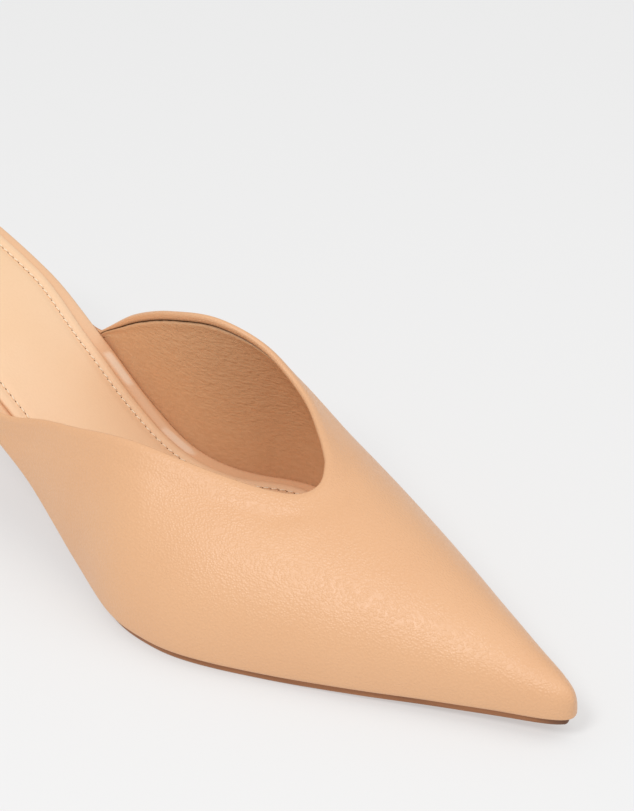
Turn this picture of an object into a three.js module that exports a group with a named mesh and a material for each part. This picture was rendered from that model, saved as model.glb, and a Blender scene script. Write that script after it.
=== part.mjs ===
import * as THREE from 'three';
import { mergeVertices } from 'three/addons/utils/BufferGeometryUtils.js';

// A closed-toe mule for the right foot: a pointed vamp with a rounded V throat, two wings that run down to the
// insole at the waist, a thin sole and a slim covered heel.
// Millimetres. +X points to the toe, +Y to the inner side of the foot, +Z up. Places along the shoe are written as
// "back", the distance behind the toe tip. The finished group is moved so that the origin is on the floor, under
// the middle of the shoe's box.

// Driving dimensions
const shoeLength = 246;
const seatStart = 220;
const seatRoundness = 2.2;
const wall = 1.6;
const gap = 0.3;
const insoleThickness = 3;
const outsoleThickness = 2.2;
const outsoleInset = 1;
const sockMargin = 4.6;
const seatSockMargin = 3.8;
const sockEdgeThickness = 1.1;
const sockCrown = 0.9;
const tipHeight = 4;

// Where the inside of the toe starts, and where its stations meet the outside ones again
const insideToe = 4.5;
const insideToeBlend = 30;

// Where the wings of the upper end on the insole. The wall thins towards them, and the insole edge comes out from
// under it.
const wingEnd = 184.5;
const thinWall = 0.45;
const thinningStart = 170;
const edgeOutStart = 176;
const edgeOutEnd = 199;

// How finely the curved pieces are divided
const vampStations = 20;
const wingStations = 18;
const wallRows = 11;
const plateStations = 90;
const flatLanes = 2;
const crownLanes = 8;
const heelSides = 32;

// The last. outer and inner are the half widths of the feather edge, where upper and sole meet; feather is its
// height above the floor; rise is the ridge above the feather edge and lean its shift to the inner side; belly is
// how far the side wall swells past the feather edge; low and high are its fullness at the bottom and at the top.
const last = [
  { back: 0, outer: 0, inner: 0, feather: 6, rise: 4, lean: 0, belly: 0, low: 0.6, high: 0.6 },
  { back: 2, outer: 3.1, inner: 3.5, feather: 5.9, rise: 7.3, lean: 0, belly: 0.3, low: 0.6, high: 0.6 },
  { back: 6, outer: 5.3, inner: 5.5, feather: 5.6, rise: 9.6, lean: 0, belly: 0.5, low: 0.6, high: 0.6 },
  { back: 14, outer: 8.6, inner: 8.2, feather: 5.1, rise: 13, lean: 0, belly: 0.9, low: 0.59, high: 0.59 },
  { back: 30, outer: 15.6, inner: 13.8, feather: 4.2, rise: 19.7, lean: 0.3, belly: 1.6, low: 0.57, high: 0.57 },
  { back: 50, outer: 25, inner: 21.2, feather: 3.2, rise: 27.9, lean: 0.9, belly: 2.3, low: 0.55, high: 0.54 },
  { back: 72, outer: 34.5, inner: 29, feather: 2.5, rise: 36, lean: 2, belly: 2.8, low: 0.52, high: 0.5 },
  { back: 84, outer: 39.2, inner: 32.5, feather: 2.5, rise: 40, lean: 3, belly: 3.1, low: 0.51, high: 0.48 },
  { back: 96, outer: 41.8, inner: 35, feather: 2.5, rise: 45, lean: 4, belly: 3.3, low: 0.51, high: 0.45 },
  { back: 106, outer: 41.8, inner: 36.5, feather: 2.9, rise: 50.5, lean: 4.8, belly: 3.4, low: 0.51, high: 0.43 },
  { back: 118, outer: 38.8, inner: 35, feather: 3.8, rise: 57.5, lean: 5.4, belly: 3.4, low: 0.52, high: 0.43 },
  { back: 126, outer: 35.5, inner: 29, feather: 5, rise: 60.5, lean: 5.6, belly: 3.4, low: 0.52, high: 0.45 },
  { back: 135, outer: 32.5, inner: 23, feather: 7.4, rise: 62, lean: 5.7, belly: 3.4, low: 0.52, high: 0.45 },
  { back: 146, outer: 29, inner: 20, feather: 11.6, rise: 62, lean: 5.5, belly: 3.3, low: 0.51, high: 0.45 },
  { back: 160, outer: 26, inner: 20.5, feather: 18.6, rise: 60, lean: 4.9, belly: 3.2, low: 0.5, high: 0.43 },
  { back: 178, outer: 25.5, inner: 22, feather: 29.2, rise: 55, lean: 4, belly: 3.1, low: 0.5, high: 0.41 },
  { back: 192, outer: 25, inner: 22, feather: 36.9, rise: 52, lean: 3, belly: 2.9, low: 0.5, high: 0.4 },
  { back: 206, outer: 25, inner: 22, feather: 42.9, rise: 49.5, lean: 2, belly: 2.6, low: 0.5, high: 0.4 },
  { back: 226, outer: 23.8, inner: 21.8, feather: 49.2, rise: 45, lean: 0.8, belly: 2.2, low: 0.5, high: 0.4 },
  { back: 246, outer: 22, inner: 21, feather: 52.4, rise: 40, lean: 0, belly: 2, low: 0.5, high: 0.4 },
];

// The topline, from the outer wing round the throat to the inner wing. across is -1 at the outer feather edge,
// 0 on the ridge and 1 at the inner feather edge.
const topline = [
  { back: 184, across: -0.98 },
  { back: 166, across: -0.88 },
  { back: 150, across: -0.74 },
  { back: 134, across: -0.62 },
  { back: 114, across: -0.47 },
  { back: 97, across: -0.35 },
  { back: 84, across: -0.26 },
  { back: 78, across: -0.19 },
  { back: 77, across: -0.1 },
  { back: 81, across: 0 },
  { back: 89, across: 0.13 },
  { back: 101, across: 0.28 },
  { back: 115, across: 0.34 },
  { back: 131, across: 0.39 },
  { back: 148, across: 0.55 },
  { back: 165, across: 0.75 },
  { back: 180, across: 0.98 },
];

// The heel, from the seat down. share is the part of the height left below the row, front and rear are places
// along the shoe, and half is the half width.
const heelRows = [
  { share: 1, front: 203, rear: 244.2, half: 22 },
  { share: 0.94, front: 207.5, rear: 244, half: 20.6 },
  { share: 0.84, front: 213, rear: 243.4, half: 17.4 },
  { share: 0.7, front: 217.6, rear: 242.4, half: 13.8 },
  { share: 0.54, front: 220.6, rear: 241.2, half: 11 },
  { share: 0.36, front: 222.4, rear: 240, half: 9.2 },
  { share: 0.18, front: 223.4, rear: 239.2, half: 8.2 },
  { share: 0, front: 224, rear: 238.8, half: 7.8 },
];
const heelWidest = 0.42;
const heelFrontSquareness = 3.4;

// Colours and finishes
const tanLeather = { color: 0xdfb28a, roughness: 0.48, metalness: 0 };
const sockLeather = { color: 0xe9bf9c, roughness: 0.55, metalness: 0 };
const brownSole = { color: 0x8a5836, roughness: 0.5, metalness: 0 };
const wearPiece = { color: 0x6e4a30, roughness: 0.7, metalness: 0 };

// A smooth curve through one column of the last, with no overshoot. It runs in the square root of the distance
// behind the tip, which rounds the toe.
function columnCurve(name) {
  const at = last.map((row) => Math.sqrt(row.back));
  const value = last.map((row) => row[name]);
  const chord = at.slice(1).map((a, i) => (value[i + 1] - value[i]) / (a - at[i]));
  const slope = value.map((v, i) => {
    if (i === 0) return chord[0];
    if (i === chord.length) return chord[i - 1];
    if (chord[i - 1] * chord[i] <= 0) return 0;
    const before = at[i] - at[i - 1];
    const after = at[i + 1] - at[i];
    const blend = (2 * after + before) / chord[i - 1] + (after + 2 * before) / chord[i];
    return (3 * (before + after)) / blend;
  });
  return (back) => {
    const x = Math.sqrt(THREE.MathUtils.clamp(back, 0, shoeLength));
    const found = at.findIndex((a) => a > x);
    const i = (found < 0 ? at.length - 1 : found) - 1;
    const span = at[i + 1] - at[i];
    const u = (x - at[i]) / span;
    const rest = 1 - u;
    const start = value[i] * (1 + 2 * u) + slope[i] * span * u;
    const end = value[i + 1] * (1 + 2 * rest) - slope[i + 1] * span * rest;
    return start * rest * rest + end * u * u;
  };
}

const outerHalf = columnCurve('outer');
const innerHalf = columnCurve('inner');
const feather = columnCurve('feather');
const rise = columnCurve('rise');
const lean = columnCurve('lean');
const belly = columnCurve('belly');
const low = columnCurve('low');
const high = columnCurve('high');

function slopeOf(curve, back) {
  const step = 0.05;
  const before = Math.max(0, back - step);
  return (curve(back + step) - curve(before)) / (back + step - before);
}

// The wall's thickness, and how far the edges of the insole and of the sock lie inside the feather outline
const { lerp, smoothstep } = THREE.MathUtils;
const wallAt = (back) => lerp(wall, thinWall, smoothstep(back, thinningStart, wingEnd));
const insoleInset = (back) => (wall + gap) * (1 - smoothstep(back, edgeOutStart, edgeOutEnd));
const sockInset = (back) => insoleInset(back) + lerp(sockMargin, seatSockMargin, smoothstep(back, 174, 198));

// How much a flat offset of the given size takes off a value measured across a sloping curve
const acrossSlope = (offset, slope) => offset * Math.hypot(1, slope);

// The seat is closed by a rounded end, which an inset plate reaches its inset earlier
function seatRound(back, inset) {
  const u = THREE.MathUtils.clamp((back - seatStart) / (shoeLength - inset - seatStart), 0, 1);
  return Math.pow(1 - Math.pow(u, seatRoundness), 1 / seatRoundness);
}

// Half width of the feather outline on one side, drawn in by inset. side is -1 for outer and 1 for inner.
function halfWidth(back, side, inset) {
  const curve = side < 0 ? outerHalf : innerHalf;
  const half = curve(back) - acrossSlope(inset, slopeOf(curve, back));
  return Math.max(0, half) * seatRound(back, inset);
}

function bezier(u, a, b, c, d) {
  const v = 1 - u;
  return v * v * v * a + 3 * v * v * u * b + 3 * v * u * u * c + u * u * u * d;
}

// A point on the upper: across runs from the outer feather edge over the ridge to the inner one, and depth is how
// far the surface lies inside the last's own.
function upperPoint(back, across, depth) {
  const side = across < 0 ? -1 : 1;
  const up = 1 - Math.abs(across);
  const edge = side * halfWidth(back, side, depth);
  const ridgeSlope = slopeOf((place) => feather(place) + rise(place), back);
  const height = rise(back) - acrossSlope(depth, ridgeSlope);
  const shift = lean(back);
  const y = bezier(up, edge, edge + side * belly(back), shift + (edge - shift) * high(back), shift);
  const z = feather(back) + bezier(up, 0, low(back) * height, height, height);
  return new THREE.Vector3(-back, y, z);
}

// A list of triangles that becomes one closed mesh
class Skin {
  constructor() {
    this.corners = [];
  }

  triangle(a, b, c) {
    const area = new THREE.Triangle(a, b, c).getArea();
    if (area < 1e-6) return;
    this.corners.push(a, b, c);
  }

  quad(a, b, c, d) {
    this.triangle(a, b, c);
    this.triangle(a, c, d);
  }

  // Rows of points joined into a sheet
  sheet(rows, flipped = false) {
    for (let i = 0; i + 1 < rows.length; i += 1) {
      this.strip(rows[i], rows[i + 1], flipped);
    }
  }

  strip(first, second, flipped = false) {
    for (let j = 0; j + 1 < first.length; j += 1) {
      const ring = [first[j], second[j], second[j + 1], first[j + 1]];
      if (flipped) ring.reverse();
      this.quad(...ring);
    }
  }

  mesh(name, finish) {
    const loose = new THREE.BufferGeometry().setFromPoints(this.corners);
    const geometry = mergeVertices(loose, 1e-3);
    geometry.computeVertexNormals();
    const mesh = new THREE.Mesh(geometry, new THREE.MeshStandardMaterial(finish));
    mesh.name = name;
    return mesh;
  }
}

// The topline as a curve in the (back, across) plane, with the place of its foremost point at the throat
const toplineCurve = new THREE.SplineCurve(topline.map((row) => new THREE.Vector2(row.back, row.across)));

function throatPlace() {
  const tries = 2000;
  let best = 0;
  for (let i = 1; i <= tries; i += 1) {
    if (toplineCurve.getPoint(i / tries).x < toplineCurve.getPoint(best).x) best = i / tries;
  }
  return best;
}

// The (back, across) places of the upper's mesh, one row of places for each station. The vamp has a station from
// side to side; behind the throat each wing has its own, from the topline down to the feather edge.
function upperPlaces() {
  const throatAt = throatPlace();
  const throat = toplineCurve.getPoint(throatAt);
  const along = (count) => Array.from({ length: count + 1 }, (_, i) => i / count);
  const wallDown = (top, foot, side) =>
    along(wallRows).map((u) => ({
      back: THREE.MathUtils.lerp(top.x, foot, u),
      across: THREE.MathUtils.lerp(top.y, side, u),
    }));
  const vamp = along(vampStations).map((u) => {
    const back = throat.x * u * u;
    const split = new THREE.Vector2(back, throat.y * u * u);
    return {
      outer: wallDown(split, back, -1),
      inner: wallDown(split, back, 1),
    };
  });
  const wing = (side) =>
    along(wingStations).map((u) => {
      const place = side < 0 ? throatAt * (1 - u) : THREE.MathUtils.lerp(throatAt, 1, u);
      const foot = THREE.MathUtils.lerp(throat.x, wingEnd, u);
      return wallDown(toplineCurve.getPoint(place), foot, side);
    });
  return { vamp, outerWing: wing(-1), innerWing: wing(1) };
}

// One hollow wall, open at the throat, behind and underneath
function upper() {
  const { vamp, outerWing, innerWing } = upperPlaces();
  const outside = ({ back, across }) => upperPoint(back, across, 0);
  const inside = ({ back, across }) => {
    const squeeze = 1 - insideToe / insideToeBlend;
    const moved = back < insideToeBlend ? insideToe + back * squeeze : back;
    return upperPoint(moved, across, wallAt(moved));
  };
  const sides = [
    { rows: [...vamp.map((station) => station.outer), ...outerWing.slice(1)], wing: outerWing, flipped: false },
    { rows: [...vamp.map((station) => station.inner), ...innerWing.slice(1)], wing: innerWing, flipped: true },
  ];
  const skin = new Skin();
  for (const { rows, wing, flipped } of sides) {
    const foot = rows.map((row) => row[row.length - 1]);
    const top = wing.map((row) => row[0]);
    const end = rows[rows.length - 1];
    skin.sheet(rows.map((row) => row.map(outside)), flipped);
    skin.sheet(rows.map((row) => row.map(inside)), !flipped);
    skin.strip(foot.map(outside), foot.map(inside), !flipped);
    skin.strip(top.map(outside), top.map(inside), flipped);
    skin.strip(end.map(outside), end.map(inside), flipped);
  }
  // The inside of the toe ends in a small upright face, and the bottom edge closes round the tip
  const toe = vamp[0];
  const outerToe = toe.outer.map(inside);
  const innerToe = toe.inner.map(inside);
  skin.strip(outerToe, innerToe);
  skin.triangle(outside(toe.outer[wallRows]), outerToe[wallRows], innerToe[wallRows]);
  return skin.mesh('upper', tanLeather);
}

// A plate that follows the sole line. half gives its half width at a place and side, top and bottom its heights.
function plate(name, finish, { from, to, half, top, bottom, laneCount = flatLanes }) {
  const places = Array.from({ length: plateStations + 1 }, (_, i) => {
    const turn = (1 - Math.cos((Math.PI * i) / plateStations)) / 2;
    return THREE.MathUtils.lerp(from, to, turn);
  });
  const lanes = Array.from({ length: laneCount + 1 }, (_, j) => (2 * j) / laneCount - 1);
  const face = (height) =>
    places.map((back) =>
      lanes.map((lane) => {
        const y = lane * half(back, lane < 0 ? -1 : 1);
        return new THREE.Vector3(-back, y, height(back, lane));
      })
    );
  const topRows = face(top);
  const bottomRows = face(bottom);
  const edge = (rows, lane) => rows.map((row) => row[lane]);
  const end = topRows.length - 1;
  const skin = new Skin();
  skin.sheet(topRows, true);
  skin.sheet(bottomRows);
  skin.strip(edge(topRows, 0), edge(bottomRows, 0), true);
  skin.strip(edge(topRows, laneCount), edge(bottomRows, laneCount));
  skin.strip(topRows[0], bottomRows[0]);
  skin.strip(topRows[end], bottomRows[end], true);
  return skin.mesh(name, finish);
}

const outsoleTop = (back) => feather(back) - gap;
const outsoleBottom = (back) => Math.max(0, outsoleTop(back) - outsoleThickness);

function outsole() {
  return plate('outsole', brownSole, {
    from: outsoleInset * 1.2,
    to: shoeLength - outsoleInset,
    half: (back, side) => halfWidth(back, side, outsoleInset),
    top: outsoleTop,
    bottom: outsoleBottom,
  });
}

// Inside the upper the insole is clear of the wall, and behind the wings it comes out to the feather edge
function insole() {
  return plate('insole', tanLeather, {
    from: insideToe + 2,
    to: shoeLength,
    half: (back, side) => halfWidth(back, side, insoleInset(back)),
    top: (back) => feather(back) + insoleThickness,
    bottom: feather,
  });
}

// The padded sock is crowned across its width
function sock() {
  const base = (back) => feather(back) + insoleThickness + gap;
  return plate('sock', sockLeather, {
    from: insideToe + 12,
    to: shoeLength - seatSockMargin,
    half: (back, side) => halfWidth(back, side, sockInset(back)),
    top: (back, lane) => base(back) + sockEdgeThickness + sockCrown * (1 - lane ** 4),
    bottom: base,
    laneCount: crownLanes,
  });
}

// The outline of a heel row: rounded behind, squarer at the breast
function heelOutline({ front, rear, half }) {
  const middle = THREE.MathUtils.lerp(front, rear, heelWidest);
  const rounded = (value, power) => Math.sign(value) * Math.abs(value) ** (2 / power);
  return Array.from({ length: heelSides }, (_, i) => {
    const angle = (2 * Math.PI * i) / heelSides;
    const behind = Math.cos(angle) > 0;
    const power = behind ? seatRoundness : heelFrontSquareness;
    const reach = behind ? rear - middle : middle - front;
    return {
      back: middle + reach * rounded(Math.cos(angle), power),
      y: half * rounded(Math.sin(angle), power),
    };
  });
}

function stack(name, finish, rings, middles) {
  const skin = new Skin();
  const closed = rings.map((ring) => [...ring, ring[0]]);
  skin.sheet(closed, true);
  const lastRing = closed.length - 1;
  for (let j = 0; j < heelSides; j += 1) {
    skin.triangle(middles[0], closed[0][j + 1], closed[0][j]);
    skin.triangle(middles[1], closed[lastRing][j], closed[lastRing][j + 1]);
  }
  return skin.mesh(name, finish);
}

function heel() {
  const foot = tipHeight + gap;
  const seat = (back) => outsoleBottom(back) - gap;
  const place = ({ back, y }, share) =>
    new THREE.Vector3(-back, y, THREE.MathUtils.lerp(foot, seat(back), share));
  const rings = heelRows.map((row) => heelOutline(row).map((point) => place(point, row.share)));
  const ends = [heelRows[0], heelRows[heelRows.length - 1]];
  const middles = ends.map((row) => place({ back: (row.front + row.rear) / 2, y: 0 }, row.share));
  return stack('heel', tanLeather, rings, middles);
}

function heelTip() {
  const row = heelRows[heelRows.length - 1];
  const outline = heelOutline(row);
  const rings = [tipHeight, 0].map((z) => outline.map(({ back, y }) => new THREE.Vector3(-back, y, z)));
  const middles = [tipHeight, 0].map((z) => new THREE.Vector3(-(row.front + row.rear) / 2, 0, z));
  return stack('heel_tip', wearPiece, rings, middles);
}

const shoe = new THREE.Group();
shoe.add(outsole(), insole(), sock(), upper(), heel(), heelTip());

// The origin goes to the floor under the middle of the shoe's box
const box = new THREE.Box3().setFromObject(shoe);
shoe.position.set(-(box.min.x + box.max.x) / 2, -(box.min.y + box.max.y) / 2, -box.min.z);

export default shoe;
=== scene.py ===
import math
import bmesh
import bpy
import numpy as np
from mathutils import Matrix, Vector


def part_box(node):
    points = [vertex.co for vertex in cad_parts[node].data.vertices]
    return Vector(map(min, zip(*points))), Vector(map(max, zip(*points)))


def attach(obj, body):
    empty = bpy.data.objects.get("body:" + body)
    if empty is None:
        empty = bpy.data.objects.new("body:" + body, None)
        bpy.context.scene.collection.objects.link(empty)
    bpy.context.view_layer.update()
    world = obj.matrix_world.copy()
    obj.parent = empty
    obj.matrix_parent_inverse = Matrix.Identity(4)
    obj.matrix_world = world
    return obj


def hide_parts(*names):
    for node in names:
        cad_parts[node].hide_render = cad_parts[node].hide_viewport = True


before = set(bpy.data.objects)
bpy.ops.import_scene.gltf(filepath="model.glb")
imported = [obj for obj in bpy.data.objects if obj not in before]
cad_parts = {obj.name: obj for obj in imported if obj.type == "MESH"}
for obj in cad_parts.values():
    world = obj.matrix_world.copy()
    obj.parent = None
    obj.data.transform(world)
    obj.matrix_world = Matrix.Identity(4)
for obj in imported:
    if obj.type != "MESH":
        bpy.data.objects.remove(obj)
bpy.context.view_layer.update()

# A right-foot mule: pointed vamp with a rounded V throat, padded sock, thin brown sole and slim covered heel.
# Shapes are worked out in millimetres. "back" is the distance behind the toe tip. "across" runs from -1
# at the outer feather edge over the ridge at 0 to 1 at the inner feather edge.
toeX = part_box("upper")[1].x
middleY = (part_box("heel_tip")[0].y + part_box("heel_tip")[1].y) / 2
shoeLength = (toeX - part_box("insole")[0].x) * 1000

lastSizes = {
    "seatStart": 220, "seatRoundness": 2.2,
    "wall": 1.6,  # leather and lining together
    "gap": 0.3,
    "insoleThickness": 3,
    "outsoleThickness": 2.2,
    "wingEnd": 184.5,  # where the wings end on the insole
    "thinWall": 0.45,  # what is left of the wall there
    "thinningStart": 170,
    "edgeOut": (176, 199),  # where the insole edge comes out from under the wings
    "sockMargins": (4.6, 3.8),  # insole left free beside the sock, at the waist and round the seat
    "sockEase": (174, 198),  # where the one margin turns into the other
    "smoothFrom": 12, "smoothOver": 30,  # sections are averaged behind here, growing over that length
    "smoothReach": 5, "smoothSamples": 7,
}

# back, outer half width, inner half width, feather height, ridge above it, lean, belly, low and high fullness
lastRows = [
    (0, 0, 0, 6, 4, 0, 0, 0.6, 0.6),
    (2, 3.1, 3.5, 5.9, 7.3, 0, 0.3, 0.6, 0.6),
    (6, 5.3, 5.5, 5.6, 9.6, 0, 0.5, 0.6, 0.6),
    (14, 8.6, 8.2, 5.1, 13, 0, 0.9, 0.59, 0.59),
    (30, 15.6, 13.8, 4.2, 19.7, 0.3, 1.6, 0.57, 0.57),
    (50, 25, 21.2, 3.2, 27.9, 0.9, 2.3, 0.55, 0.54),
    (72, 34.5, 29, 2.5, 36, 2, 2.8, 0.52, 0.5),
    (84, 39.2, 32.5, 2.5, 40, 3, 3.1, 0.51, 0.48),
    (96, 41.8, 35, 2.5, 45, 4, 3.3, 0.51, 0.45),
    (106, 41.8, 36.5, 2.9, 50.5, 4.8, 3.4, 0.51, 0.43),
    (118, 38.8, 35, 3.8, 57.5, 5.4, 3.4, 0.52, 0.43),
    (126, 35.5, 29, 5, 60.5, 5.6, 3.4, 0.52, 0.45),
    (135, 32.5, 23, 7.4, 62, 5.7, 3.4, 0.52, 0.45),
    (146, 29, 20, 11.6, 62, 5.5, 3.3, 0.51, 0.45),
    (160, 26, 20.5, 18.6, 60, 4.9, 3.2, 0.5, 0.43),
    (178, 25.5, 22, 29.2, 55, 4, 3.1, 0.5, 0.41),
    (192, 25, 22, 36.9, 52, 3, 2.9, 0.5, 0.4),
    (206, 25, 22, 42.9, 49.5, 2, 2.6, 0.5, 0.4),
    (226, 23.8, 21.8, 49.2, 45, 0.8, 2.2, 0.5, 0.4),
    (246, 22, 21, 52.4, 40, 0, 2, 0.5, 0.4),
]

# The topline as (back, across), from the outer wing round the throat to the inner wing
toplineRows = [
    (184, -0.98), (166, -0.88), (150, -0.74), (134, -0.62), (114, -0.47), (97, -0.35),
    (84, -0.26), (78, -0.19), (77, -0.1), (81, 0), (89, 0.13), (101, 0.28),
    (115, 0.34), (131, 0.39), (148, 0.55), (165, 0.75), (180, 0.98),
]


def smoothCurve(at, value):  # cubic through the points with no overshoot
    at = np.array(at, float)
    value = np.array(value, float)
    chord = np.diff(value) / np.diff(at)
    slope = np.concatenate([chord[:1], np.zeros(len(chord) - 1), chord[-1:]])
    for i in range(1, len(chord)):
        if chord[i - 1] * chord[i] > 0:
            before, after = at[i] - at[i - 1], at[i + 1] - at[i]
            blend = (2 * after + before) / chord[i - 1] + (after + 2 * before) / chord[i]
            slope[i] = 3 * (before + after) / blend

    def curve(x):
        x = np.clip(x, at[0], at[-1])
        i = np.clip(np.searchsorted(at, x, side="right") - 1, 0, len(at) - 2)
        span = at[i + 1] - at[i]
        u = (x - at[i]) / span
        start = value[i] * (1 + 2 * u) + slope[i] * span * u
        end = value[i + 1] * (3 - 2 * u) - slope[i + 1] * span * (1 - u)
        return start * (1 - u) ** 2 + end * u ** 2

    return curve


def lastColumn(index):  # runs in the square root of the distance behind the tip, which rounds the toe
    table = np.array(lastRows, float)
    inRoot = smoothCurve(np.sqrt(table[:, 0]), table[:, index])

    def column(back):  # averaged over a few millimetres behind the toe, so that no bend is sharp
        grown = (np.asarray(back, float) - lastSizes["smoothFrom"]) / lastSizes["smoothOver"]
        reach = lastSizes["smoothReach"] * np.clip(grown, 0, 1)
        samples = np.linspace(-1, 1, lastSizes["smoothSamples"])
        return sum(inRoot(np.sqrt(np.maximum(back + reach * part, 0))) for part in samples) / len(samples)

    return column


outerHalf, innerHalf, feather, rise, lean, belly, lowFullness, highFullness = map(lastColumn, range(1, 9))


def slopeOf(curve, back):
    step = 0.05
    before = np.maximum(0, back - step)
    return (curve(back + step) - curve(before)) / (back + step - before)


def seatRound(back, inset):  # the rounded end of the seat
    u = np.clip((back - lastSizes["seatStart"]) / (shoeLength - inset - lastSizes["seatStart"]), 0, 1)
    return (1 - u ** lastSizes["seatRoundness"]) ** (1 / lastSizes["seatRoundness"])


def halfWidth(back, side, inset=0):
    def oneSide(curve):
        return np.maximum(0, curve(back) - inset * np.hypot(1, slopeOf(curve, back)))

    return np.where(np.asarray(side) < 0, oneSide(outerHalf), oneSide(innerHalf)) * seatRound(back, inset)


def eased(back, start, end):  # 0 before start, 1 after end
    u = np.clip((back - start) / (end - start), 0, 1)
    return u * u * (3 - 2 * u)


def wallShare(back):  # the wall thins towards the wing ends
    thin = 1 - lastSizes["thinWall"] / lastSizes["wall"]
    return 1 - thin * eased(back, lastSizes["thinningStart"], lastSizes["wingEnd"])


def edgeInset(back, most):
    return most * (1 - eased(back, *lastSizes["edgeOut"]))


def sockInset(back):
    waist, seat = lastSizes["sockMargins"]
    free = waist + (seat - waist) * eased(back, *lastSizes["sockEase"])
    return free + edgeInset(back, lastSizes["wall"] + lastSizes["gap"])


def bezier(u, a, b, c, d):
    v = 1 - u
    return v ** 3 * a + 3 * v * v * u * b + 3 * v * u * u * c + u ** 3 * d


def lastPoint(back, across, side):
    up = 1 - np.abs(across)
    edge = side * halfWidth(back, side)
    height, shift = rise(back), lean(back)
    y = bezier(up, edge, edge + side * belly(back), shift + (edge - shift) * highFullness(back), shift)
    z = feather(back) + bezier(up, 0, lowFullness(back) * height, height, height)
    return np.stack([-back + 0 * y, y, z], -1)


def unit(vectors):
    return vectors / np.maximum(np.linalg.norm(vectors, axis=-1, keepdims=True), 1e-12)


slopeSteps = {
    "root": 0.01, "across": 0.004,
    "leastBack": 0.04,  # stays off the toe tip
    "acrossRange": (0.012, 0.994),  # stays off the ridge and the feather edge
}


def lastSlopes(back, across, side):  # change of the surface point with back and with across
    root = np.sqrt(np.maximum(back, slopeSteps["leastBack"]))
    inside = side * np.clip(np.abs(across), *slopeSteps["acrossRange"])
    stepRoot, stepAcross = slopeSteps["root"], slopeSteps["across"]
    along = lastPoint((root + stepRoot) ** 2, inside, side) - lastPoint((root - stepRoot) ** 2, inside, side)
    over = lastPoint(root ** 2, inside + stepAcross, side) - lastPoint(root ** 2, inside - stepAcross, side)
    return along / (4 * stepRoot * root)[..., None], over / (2 * stepAcross)


def lastNormal(back, across, side):
    along, over = lastSlopes(back, across, side)
    return unit(np.cross(over, along))


def sideOf(across):
    return np.where(across < 0, -1.0, 1.0)


def placed(points):  # millimetres behind the toe tip to the frame's metres
    return np.asarray(points, float) * 0.001 + np.array([toeX, middleY, 0])


def added(name, data):
    made = bpy.data.objects.new(name, data)
    bpy.context.scene.collection.objects.link(made)
    return made


class Shell:  # sheets of points that are welded into one closed mesh
    def __init__(self):
        self.points = []
        self.tones = []
        self.faces = []
        self.count = 0

    def add(self, points, tone=0):  # tone is kept as an attribute that a material can read; it marks painted shade at seams
        points = np.asarray(points, float).reshape(-1, 3)
        self.points.append(points)
        self.tones.append(np.broadcast_to(np.asarray(tone, float).reshape(-1), len(points)))
        self.count += len(points)
        return self.count - len(points)

    def sheet(self, grid, tone=0):
        grid = np.asarray(grid, float)
        rows, lanes = grid.shape[:2]
        first = self.add(grid, tone)
        for i in range(rows - 1):
            here, after = first + i * lanes, first + (i + 1) * lanes
            for j in range(lanes - 1):
                self.faces.append((here + j, here + j + 1, after + j + 1, after + j))

    def cap(self, ring):
        first = self.add(ring)
        middle = self.add([np.mean(np.asarray(ring, float), 0)])
        count = len(ring)
        for i in range(count):
            self.faces.append((first + i, first + (i + 1) % count, middle))

    def piece(self, name, material, weld=2e-6):
        mesh = bpy.data.meshes.new(name)
        build = bmesh.new()
        toneLayer = build.verts.layers.float.new("tone")
        corners = [build.verts.new(p) for p in placed(np.concatenate(self.points))]
        for corner, tone in zip(corners, np.concatenate(self.tones)):
            corner[toneLayer] = float(tone)
        for face in self.faces:
            build.faces.new([corners[i] for i in face])
        bmesh.ops.remove_doubles(build, verts=build.verts, dist=weld)
        bmesh.ops.dissolve_degenerate(build, edges=build.edges, dist=weld / 4)
        bmesh.ops.recalc_face_normals(build, faces=build.faces)
        for face in build.faces:
            face.smooth = True
        build.to_mesh(mesh)
        build.free()
        made = added(name, mesh)
        mesh.materials.append(material)
        openEdges = openEdgeCount(mesh)
        print(f"  {name}: {len(mesh.polygons)} faces, {openEdges} open edges")
        return made


def openEdgeCount(mesh):
    uses = np.zeros(len(mesh.edges), int)
    loopEdges = np.zeros(len(mesh.loops), int)
    mesh.loops.foreach_get("edge_index", loopEdges)
    np.add.at(uses, loopEdges, 1)
    return int((uses != 2).sum())


def finished(piece, slot, *nodes):
    if nodes:
        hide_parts(*nodes)
    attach(piece, "root")


def lastPlaces(piece):  # its points as (back, to inner, up) in millimetres
    return (np.array([v.co[:] for v in piece.data.vertices]) - placed([0, 0, 0])) * (-1000, 1000, 1000)


def keepOnPoints(piece, name, values):  # an attribute that a material can read
    layer = piece.data.attributes.new(name, "FLOAT", "POINT")
    layer.data.foreach_set("value", values.astype(np.float32))


def paint(red, green, blue):  # a display colour as the linear one that the shader takes
    def linear(value):
        value /= 255
        return value / 12.92 if value <= 0.04045 else ((value + 0.055) / 1.055) ** 2.4

    return (linear(red), linear(green), linear(blue), 1)


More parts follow.
